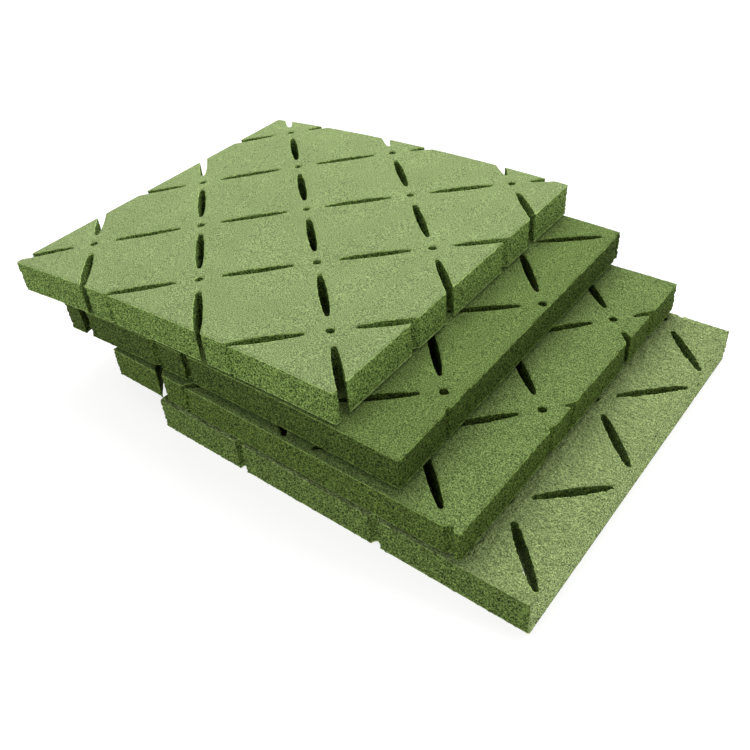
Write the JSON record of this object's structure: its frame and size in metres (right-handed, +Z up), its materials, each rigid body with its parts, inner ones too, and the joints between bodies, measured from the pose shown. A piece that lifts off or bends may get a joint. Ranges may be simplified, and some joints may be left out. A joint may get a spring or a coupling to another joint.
{
  "type": "perforated foam panel stack",
  "caption": "Loose fanned stack of flat square green foam panels, each cut through with a diagonal lattice of long narrow slots and pin holes.",
  "frame": {"origin": "under the middle of the stack's box, on the surface that the bottom panel lies on", "axes": "+Z up; +X along the bottom panel's length, towards the side where every panel shows a strip of its top face; +Y across the panels"},
  "size_m": [0.4296, 0.2958, 0.1],
  "materials": {
    "top_panel_foam": "fine closed-cell green foam, matt, with rough cut sides",
    "upper_middle_panel_foam": "fine closed-cell green foam, matt, with rough cut sides",
    "lower_middle_panel_foam": "fine closed-cell green foam, matt, with rough cut sides",
    "bottom_panel_foam": "green foam with a pebbled upper skin, matt, with rough cut sides"
  },
  "bodies": {
    "bottom": {"bottom_panel": "bottom_panel_foam"},
    "lower_middle": {"lower_middle_panel": "lower_middle_panel_foam"},
    "upper_middle": {"upper_middle_panel": "upper_middle_panel_foam"},
    "top": {"top_panel": "top_panel_foam"}
  },
  "joints": [
    {"name": "lower_middle_lift", "type": "slide", "parent": "bottom", "child": "lower_middle", "axis": [0, 0, 1], "range_m": [0, 0.06]},
    {"name": "upper_middle_lift", "type": "slide", "parent": "lower_middle", "child": "upper_middle", "axis": [0, 0, 1], "range_m": [0, 0.06]},
    {"name": "top_lift", "type": "slide", "parent": "upper_middle", "child": "top", "axis": [0, 0, 1], "range_m": [0, 0.06]}
  ]
}
